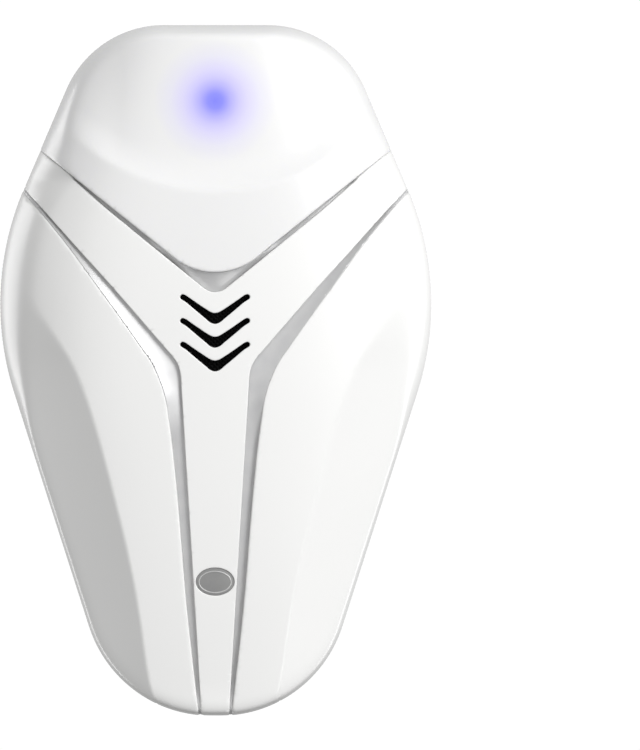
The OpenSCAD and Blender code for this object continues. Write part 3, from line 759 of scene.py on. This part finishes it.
def front_skin():
    """The whole front with its edge lines, and the loops of the slots and the badge."""
    slots = [slot_outline(SLOT_TOP - k * SLOT_PITCH) for k in range(SLOT_COUNT)]
    badge = ellipse(BADGE, BADGE_HALF, 0.18)
    crease = np.array([(crease_at(h), h) for h in np.arange(1.0, 64.5, 0.5)])
    edges = (CAP_LINE, SPINE_TOP_LINE, SPINE_RIGHT, SPINE_LEFT, WING_RIGHT, WING_LEFT)
    lines = [(resampled(OUTLINE, FRONT_STEP)[:-1], True)]
    lines += [(with_crossings(line, FRONT_RIM), False) for line in edges]
    lines += [(loop, True) for loop in slots + [badge]]
    free = [grid(0.62, 4.3)]
    free += rings(FRONT_RIM, FRONT_STEP)
    for line in (crease, mirrored(crease)):
        free += [line] + parallels(line, (0.12, 0.26, 0.42))
    free = thinned(thinned(np.vstack(free), lines[1:], 0.16), lines[:1], RIM_GAP)
    for line in edges:
        offsets = (0.07, 0.15, 0.25) if line is CAP_LINE else (0.06, 0.13, 0.21)
        near = thinned(np.vstack(parallels(line, offsets)), lines, 0.045)
        free = np.vstack([free, near])
    for line in edges[2:] + edges[:2]:
        near = np.vstack(parallels(line, (0.33, 0.5, 0.75, 1.05, 1.4, 1.8)))
        groove = inside(near, band_between(WING_RIGHT, WING_LEFT)) & ~above(near, CAP_LINE)
        panel = inside(near, band_between(SPINE_RIGHT, SPINE_LEFT)) & ~above(near, SPINE_TOP_LINE)
        near = near[groove & ~panel]
        free = np.vstack([free, thinned(near, lines, 0.1)])
    for loop in slots + [badge]:
        near = thinned(np.vstack(parallels(closed(loop), (0.05, 0.1, 0.16))), lines, 0.04)
        free = np.vstack([free, near])
    return Skin(front_rise, lines, free), slots, badge


SKIN, SLOTS, BADGE_LOOP = front_skin()
IN_CAP = above(SKIN.centres, CAP_LINE)
IN_SLOT = np.any([inside(SKIN.centres, s) for s in SLOTS], axis=0)
IN_BADGE = inside(SKIN.centres, BADGE_LOOP)
IN_SPINE = inside(SKIN.centres, band_between(SPINE_RIGHT, SPINE_LEFT)) & ~above(SKIN.centres, SPINE_TOP_LINE)
IN_WING = ~inside(SKIN.centres, band_between(WING_RIGHT, WING_LEFT)) & ~IN_CAP
IN_TRIM = ~IN_WING & ~IN_CAP & ~IN_SPINE
# Share of a groove's full depth: grooves run out towards the outline
RUN_OUT = GROOVE_END + (1 - GROOVE_END) * ease(distance_to(SKIN.points, OUTLINE) / GROOVE_RUN)


def lamp_cap():
    edge = rounding(distance_to(SKIN.points, CAP_LINE), 0.3)
    points, faces = shell(SKIN.faces[IN_CAP], SKIN.sunk(edge), SKIN.sunk(CAP_WALL))
    crisp(add_piece("lamp_cap_shell", front_row(points), faces, CAP, "lamp_cap"), SHELL_ANGLE)


def wing_shells():
    """The front cover: both wings, with softened edges along the groove."""
    to_wing = np.minimum(distance_to(SKIN.points, WING_RIGHT), distance_to(SKIN.points, WING_LEFT))
    edge = rounding(to_wing, 0.26)
    points, faces = shell(SKIN.faces[IN_WING], SKIN.sunk(edge), SKIN.sunk(WALL))
    crisp(add_piece("wing_cover", front_row(points), faces, WHITE, "front_cover"), SHELL_ANGLE)


def spine_panel():
    p = SKIN.points
    ends = [SPINE_TOP_LINE, SPINE_RIGHT, SPINE_LEFT]
    edge = np.max([rounding(distance_to(p, line), 0.14) for line in ends], axis=0)
    slot_edge = np.max([rounding(distance_to(p, closed(s)), 0.14) for s in SLOTS + [BADGE_LOOP]], axis=0)
    faces = SKIN.faces[IN_SPINE & ~IN_SLOT & ~IN_BADGE]
    outer = SKIN.sunk(SPINE_DROP * RUN_OUT + edge + slot_edge)
    points, faces = shell(faces, outer, SKIN.sunk(SPINE_DROP + SPINE_T))
    piece = add_piece("spine_shell", front_row(points), faces, WHITE, "spine_panel")
    crisp(piece, SHELL_ANGLE)


def groove_trim():
    """Plated strip: flat beside the stem, sloping up to the wings above it and to the cap in the V."""
    p = SKIN.points
    to_cap = distance_to(p, CAP_LINE)
    to_top = distance_to(p, SPINE_TOP_LINE)
    to_spine = np.minimum(distance_to(p, SPINE_RIGHT), distance_to(p, SPINE_LEFT))
    to_wing = np.minimum(distance_to(p, WING_RIGHT), distance_to(p, WING_LEFT))
    in_vee = above(p, SPINE_TOP_LINE + (0, -0.01))
    climb_cap = to_top / np.maximum(to_cap + to_top, 1e-6)
    climb_wing = (to_spine / np.maximum(to_wing + to_spine, 1e-6))**STRIP_BEND
    climb_wing *= ease((p[:, 1] - STRIP_FLAT_TO) / STRIP_TURN)
    vee_climb = VEE_CLIMB * (ease((11 - np.abs(p[:, 0])) / 7) - 0.25) * climb_cap
    depth = np.where(in_vee, VEE_DEPTH - vee_climb, STRIP_DEPTH - STRIP_CLIMB * climb_wing) * RUN_OUT
    points, faces = shell(SKIN.faces[IN_TRIM], SKIN.sunk(depth), SKIN.sunk(depth + TRIM_T))
    add_piece("groove_strip", front_row(points), faces, TRIM, "groove_trim")


def badge():
    """A plain oval inlay with a raised line inside its edge; the line's pale paint is a painted highlight."""
    p = SKIN.points
    rim = rounding(distance_to(p, closed(BADGE_LOOP)), 0.15)
    top = SKIN.sunk(SPINE_DROP + 0.18 + rim)
    points, faces = shell(SKIN.faces[IN_BADGE], top, SKIN.sunk(SPINE_DROP + 0.8))
    add_piece("badge_inlay", front_row(points), faces, INLAY, "badge")
    ring = closed(ellipse(BADGE, (BADGE_HALF[0] - 0.5, BADGE_HALF[1] - 0.5), 0.1))
    bead_r, sides = 0.1, 8
    turn = np.linspace(0, 2 * math.pi, sides, endpoint=False)
    d = np.gradient(ring, axis=0)
    d /= np.linalg.norm(d, axis=1)[:, None]
    out = np.column_stack([d[:, 1], -d[:, 0]])
    level = front_rise(ring) - SPINE_DROP - 0.2
    loops = [
        np.column_stack([ring + out * bead_r * math.cos(t), level + bead_r * math.sin(t)])[:-1] for t in turn
    ]
    n = len(loops[0])
    faces = [
        (k * n + i, k * n + (i + 1) % n, (k + 1) % sides * n + (i + 1) % n, (k + 1) % sides * n + i)
        for k in range(sides) for i in range(n)
    ]
    add_piece("badge_line", front_row(np.vstack(loops)), faces, INLAY_LINE)


def dust_mesh():
    """Woven black mesh behind the slots: two sets of threads that pass over and under."""
    pitch, radius, sides, swing = 0.42, 0.12, 6, 0.09
    top, bottom, reach = 63.6, 50.9, 5.9
    back = -node_box("dust_mesh")[0][1] - REAR_D + 0.1
    points, faces = [], []

    def thread(path, up):
        first = len(points)
        for i, p in enumerate(path):
            a = path[max(i - 1, 0)]
            b = path[min(i + 1, len(path) - 1)]
            t = (b - a) / np.linalg.norm(b - a)
            v = np.cross(t, up)
            for k in range(sides):
                angle = 2 * math.pi * k / sides
                points.append(p + radius * (up * math.cos(angle) + v * math.sin(angle)))
        n = len(path)
        for i in range(n - 1):
            for k in range(sides):
                a, b = first + i * sides + k, first + i * sides + (k + 1) % sides
                faces.append((a, b, b + sides, a + sides))
        faces.append(tuple(first + k for k in reversed(range(sides))))
        faces.append(tuple(first + (n - 1) * sides + k for k in range(sides)))

    up = np.array([0.0, 0.0, 1.0])
    columns = np.arange(-reach, reach + 0.01, pitch)
    rows = np.arange(bottom, top, pitch)
    for i, x in enumerate(columns):
        wave = [back + swing * (1 if (i + j) % 2 else -1) for j in range(len(rows))]
        thread(np.column_stack([np.full(len(rows), x), rows, wave]), up)
    for j, h in enumerate(rows):
        wave = [back - swing * (1 if (i + j) % 2 else -1) for i in range(len(columns))]
        thread(np.column_stack([columns, np.full(len(columns), h), wave]), up)
    add_piece("dust_weave", front_row(np.array(points)), faces, MESH)


lamp_cap()
wing_shells()
spine_panel()
groove_trim()
badge()
dust_mesh()


# ---------------------------------------------------------------- rear pieces
def rounded_rect(centre, width, height, radius, step):
    w, h = width / 2, height / 2
    right = np.vstack([
        corner_arc((-w, -h), (w, -h), (w, h), radius, 8),
        corner_arc((w, -h), (w, h), (-w, h), radius, 8),
    ])
    return resampled(closed(np.vstack([right, mirrored(right)])), step)[:-1] + centre


def rear_cover():
    """The rear shell with its plug opening, screw wells and shallow label recess."""
    opening_w = BASE_HIGH[0] - BASE_LOW[0] - BASE_FLANGE + BOSS_GAP
    opening = rounded_rect((0, PLUG_H), opening_w, BOSS_H + BOSS_GAP, 3.1, 0.5)
    wells = [ellipse(c, (SCREW_WELL_R, SCREW_WELL_R), 0.4) for c in COVER_SCREWS]
    label = rounded_rect((0, 27.5), 22, 24, 2.5, 0.5)
    lines = [(loop, True) for loop in [resampled(OUTLINE, REAR_STEP)[:-1], opening, label] + wells]
    free = np.vstack([grid(1.3, 5.2)] + rings(REAR_RIM, REAR_STEP))
    free = thinned(thinned(free, lines[1:], 0.3), lines[:1], RIM_GAP)
    for loop in [opening, label] + wells:
        near = thinned(np.vstack(parallels(closed(loop), (0.08, 0.18, 0.3))), lines, 0.05)
        free = np.vstack([free, near])
    skin = Skin(rear_rise, lines, free)
    open_faces = np.any([inside(skin.centres, loop) for loop in [opening] + wells], axis=0)
    to_edges = [distance_to(skin.points, closed(loop)) for loop in [opening] + wells]
    edge = rounding(np.min(to_edges, axis=0), 0.3)
    to_label = distance_to(skin.points, closed(label))
    in_label = inside(skin.points, label) | (to_label < 0.01)
    sunk = edge + np.where(in_label, 0.25 * ease(to_label / 0.25), 0)
    points, faces = shell(skin.faces[~open_faces], skin.sunk(sunk), skin.sunk(WALL))
    faces = [f[::-1] for f in faces]
    crisp(add_piece("rear_shell", rear_row(points), faces, WHITE, "rear_cover"), SHELL_ANGLE)


def lathe(profile, sides):
    """Closed surface of revolution about the forward axis, from a loop of (radius, forward)."""
    turn = np.linspace(0, 2 * math.pi, sides, endpoint=False)
    points = [(r * math.cos(t), r * math.sin(t), f) for t in turn for r, f in profile]
    n = len(profile)
    faces = [
        (s * n + k, s * n + (k + 1) % n, (s + 1) % sides * n + (k + 1) % n, (s + 1) % sides * n + k)
        for s in range(sides) for k in range(n)
    ]
    return np.array(points), faces


def screw_wells():
    """Tubes that carry the cover screws, down from the rear shell."""
    inner, outer = SCREW_WELL_R, SCREW_WELL_R + 1
    back, front = PLUG_PROUD + 0.35, 7.0
    points, faces = lathe([
        (inner, back), (outer, back), (outer, front + 1),
        (SCREW_HOLE_R, front + 1), (SCREW_HOLE_R, front), (inner, front),
    ], 40)
    tubes, tube_faces = [], []
    for x, h in COVER_SCREWS:
        tube_faces += [tuple(i + len(tubes) * len(points) for i in f) for f in faces]
        tubes.append(points + (x, h, 0))
    crisp(add_piece("screw_wells", to_row(np.vstack(tubes)), tube_faces, WHITE), 38)


def plug_boss():
    """Rounded block that the blades stand in, with a soft edge and a sunk panel round the blades."""
    width, radius = 24.0, 3.0
    # (inset, forward) of each loop, from the root over the soft edge to the sunk panel
    loops = [
        (0.0, 5.0), (0.0, 0.6), (0.1, 0.3), (0.25, 0.12), (0.45, 0.03), (0.7, 0.0),
        (1.5, 0.0), (1.62, 0.04), (1.8, 0.22), (1.95, 0.25),
    ]
    points, faces = [], []
    count = len(rounded_rect((0, PLUG_H), width, BOSS_H, radius, 0.6))
    for inset, f in loops:
        size = (width - 2 * inset, BOSS_H - 2 * inset)
        loop = evenly(rounded_rect((0, PLUG_H), *size, max(radius - inset, 0.6), 0.6), count)
        points.append(np.column_stack([loop, np.full(count, f)]))
    last = (len(loops) - 1) * count
    for first in range(0, last, count):
        for i in range(count):
            a, b = first + i, first + (i + 1) % count
            faces.append((a, a + count, b + count, b))
    faces.append(tuple(range(last, last + count)))
    faces.append(tuple(reversed(range(count))))
    piece = add_piece("plug_boss", to_row(np.vstack(points)), faces, PLUG_WHITE, "plug_base")
    crisp(piece, 45)


def evenly(loop, count):
    """A closed loop as a given number of evenly spaced points."""
    path = closed(loop)
    along = np.concatenate([[0], np.cumsum(np.linalg.norm(np.diff(path, axis=0), axis=1))])
    at = np.linspace(0, along[-1], count, endpoint=False)
    return np.column_stack([np.interp(at, along, path[:, k]) for k in (0, 1)])


def blade(side):
    """Flat plug blade with a rounded tip, soft edges and its hole."""
    node = "blade_left" if side < 0 else "blade_right"
    low, high = node_box(node)
    centre_x = (low[0] + high[0]) / 2
    w, t = (high[2] - low[2]) / 2, (high[0] - low[0]) / 2
    root, tip = low[1], high[1]
    body = resampled(closed(np.vstack([
        corner_arc((-w, root), (-w, tip), (w, tip), BLADE_TIP_R, 8),
        corner_arc((-w, tip), (w, tip), (w, root), BLADE_TIP_R, 8),
        [(w, root), (-w, root)],
    ])), 0.35)[:-1]
    hole = ellipse(BLADE_HOLE, (BLADE_HOLE_R, BLADE_HOLE_R), 0.25)
    lines = [(body, True), (hole, True)]
    free = np.array([(x, y) for x in np.arange(-w, w, 0.5) for y in np.arange(root, tip, 0.5)])
    free = thinned(free[inside(free, body)], lines, 0.35)
    for loop in (body, hole):
        near = np.vstack(parallels(closed(loop), (0.06, 0.14, 0.24)))
        near = near[inside(near, body)]
        free = np.vstack([free, thinned(near, lines, 0.04)])
    flat, triangles = triangulated(lines, free)
    centres = flat[triangles].mean(1)
    triangles = triangles[inside(centres, body) & ~inside(centres, hole)]
    to_body, to_hole = distance_to(flat, closed(body)), distance_to(flat, closed(hole))
    edge = np.maximum(rounding(to_body, 0.28), rounding(to_hole, 0.2))
    face = t - np.minimum(edge, t * 0.8)
    right = np.column_stack([centre_x + face, flat])
    left = np.column_stack([centre_x - face, flat])
    points, faces = shell(triangles, right, left)
    row = np.column_stack([points[:, 0], points[:, 2], points[:, 1]]) * MM
    add_piece(node + "_plated", row, faces, NICKEL, node)


rear_cover()
screw_wells()
plug_boss()
blade(-1)
blade(1)


# ---------------------------------------------------------------- carried CAD nodes
def wire_skin(name, colour):
    return moulded(name, colour, 0.35, 1200, 0.1, 0.06)


CARRIED = {
    "black_mesh": MESH,
    "black_epoxy": moulded("black_epoxy", linear(24, 24, 25), 0.5, 2500, 0.3, 0.15),
    "tinned_steel": metal("tinned_steel", linear(160, 160, 160), linear(200, 200, 198), 0.3),
    "screw_steel": metal("screw_steel", linear(150, 151, 150), linear(190, 190, 186), 0.28, 900),
    "brown_pvc": wire_skin("brown_pvc", linear(96, 54, 30)),
    "blue_pvc": wire_skin("blue_pvc", linear(52, 96, 170)),
    "red_pvc": wire_skin("red_pvc", linear(170, 32, 28)),
    "black_pvc": wire_skin("black_pvc", linear(28, 28, 28)),
    "board_laminate": moulded("board_laminate", linear(38, 112, 62), 0.3, 600, 0.3, 0.12),
    "green_lacquer": moulded("green_lacquer", linear(96, 130, 84), 0.25, 900, 0.2, 0.08),
    "blue_lacquer": moulded("blue_lacquer", linear(36, 88, 168), 0.2, 900, 0.2, 0.08),
    "yellow_case": moulded("yellow_case", linear(216, 184, 52), 0.35, 900, 0.15, 0.05),
    "capacitor_sleeve": moulded("capacitor_sleeve", linear(26, 30, 58), 0.22, 900, 0.1, 0.06),
    "ferrite": moulded("ferrite", linear(62, 62, 64), 0.6, 1800, 0.4, 0.12),
    "copper_winding": metal("copper_winding", linear(168, 84, 40), linear(200, 112, 62), 0.3, 1800,
                            stretch=(1, 8, 1)),
    "tan_ceramic": moulded("tan_ceramic", linear(186, 160, 124), 0.45, 1500, 0.2, 0.08),
    "lamp_epoxy": moulded("lamp_epoxy", linear(190, 204, 244), 0.08, 400, 0.03, 0.02),
    "white_nylon": moulded("white_nylon", linear(224, 224, 220), 0.45, 900, 0.15, 0.03),
    "black_nylon": moulded("black_nylon", linear(34, 34, 35), 0.45, 900, 0.2, 0.08),
    "cone_aluminium": metal("cone_aluminium", linear(196, 197, 200), linear(220, 221, 222), 0.24),
    "piezo_brass": metal("piezo_brass", linear(196, 160, 88), linear(222, 190, 120), 0.25),
    "black_foam": moulded("black_foam", linear(26, 26, 26), 0.85, 2200, 0.6, 0.2),
}
for part in frame["record"]["subparts"]:
    finish = CARRIED.get(part["material_slot"])
    if finish:
        slots = frame["nodes"][part["node"]].data.materials
        if not slots:
            slots.append(finish)
        for k in range(len(slots)):
            slots[k] = finish


# ---------------------------------------------------------------- stage, light and camera
def floor_paper():
    s = Shader("floor_paper")
    colour = linear(246, 246, 246)
    tint = s.ramp(s.noise(3, 3), [(0.3, shade(colour, 0.99)), (0.7, colour)])
    return s.set(Base_Color=tint, Roughness=0.8)


def floor():
    half, drop = 3.0, -1.2
    mesh = bpy.data.meshes.new("floor")
    corners = [(-half, -half, drop), (half, -half, drop), (half, half, drop), (-half, half, drop)]
    mesh.from_pydata(corners, [], [(0, 1, 2, 3)])
    piece = bpy.data.objects.new("floor", mesh)
    bpy.context.scene.collection.objects.link(piece)
    mesh.materials.append(floor_paper())
    piece.visible_diffuse = False
    piece.visible_glossy = False


def softbox(name, place, size, energy):
    """A soft rectangular light aimed at the plug's middle."""
    light = bpy.data.lights.new(name, "AREA")
    light.shape = "RECTANGLE"
    light.size, light.size_y = size
    light.energy = energy
    lamp = bpy.data.objects.new(name, light)
    bpy.context.scene.collection.objects.link(lamp)
    lamp.location = place
    lamp.rotation_euler = (-Vector(place)).to_track_quat("-Z", "Y").to_euler()


def surroundings(glow, backdrop):
    """Even studio light that is weaker from below, and a brighter plain backdrop behind the object."""
    world = bpy.data.worlds.new("studio")
    bpy.context.scene.world = world
    world.use_nodes = True
    nodes, links = world.node_tree.nodes, world.node_tree.links
    nodes.clear()
    path = nodes.new("ShaderNodeLightPath")
    direction = nodes.new("ShaderNodeTexCoord")
    split = nodes.new("ShaderNodeSeparateXYZ")
    links.new(direction.outputs["Generated"], split.inputs["Vector"])
    fall = nodes.new("ShaderNodeMapRange")
    fall.interpolation_type = "SMOOTHSTEP"
    fall.inputs["From Min"].default_value = -0.75
    fall.inputs["From Max"].default_value = 0.25
    fall.inputs["To Min"].default_value = glow * 0.4
    fall.inputs["To Max"].default_value = glow
    links.new(split.outputs["Z"], fall.inputs["Value"])
    even = nodes.new("ShaderNodeBackground")
    links.new(fall.outputs["Result"], even.inputs["Strength"])
    white = nodes.new("ShaderNodeBackground")
    white.inputs["Strength"].default_value = backdrop
    for node in (even, white):
        node.inputs["Color"].default_value = (1, 1, 1, 1)
    mix = nodes.new("ShaderNodeMixShader")
    out = nodes.new("ShaderNodeOutputWorld")
    links.new(path.outputs["Is Camera Ray"], mix.inputs["Fac"])
    links.new(even.outputs["Background"], mix.inputs[1])
    links.new(white.outputs["Background"], mix.inputs[2])
    links.new(mix.outputs["Shader"], out.inputs["Surface"])


def camera():
    """Level front view through a long lens, with the body left of the picture's middle."""
    view_h = 113.0
    right, middle_h, away = 15.7, 51.28, 2400.0
    lens = bpy.data.cameras.new("camera")
    lens.lens = lens.sensor_width * (away - REAR_D) / view_h
    lens.clip_start, lens.clip_end = 0.05, 20
    eye = bpy.data.objects.new("camera", lens)
    bpy.context.scene.collection.objects.link(eye)
    eye.location = to_row([(right, middle_h, away)])[0]
    eye.rotation_euler = (math.radians(90), 0, 0)
    bpy.context.scene.camera = eye


floor()
surroundings(0.595, 1.02)
softbox("key", (0.52, -0.62, 0.36), (0.34, 0.6), 5.2)
softbox("left_fill", (-0.36, -0.78, 0.12), (0.5, 0.5), 0.6)
softbox("low_fill", (0.42, -0.66, -0.42), (0.3, 0.25), 1.0)
softbox("left_rim", (-0.38, 0.36, -0.05), (0.2, 0.5), 0.75)
softbox("right_rim", (0.45, 0.30, 0.0), (0.2, 0.6), 0.9)
camera()
bpy.context.scene.view_settings.view_transform = "Standard"
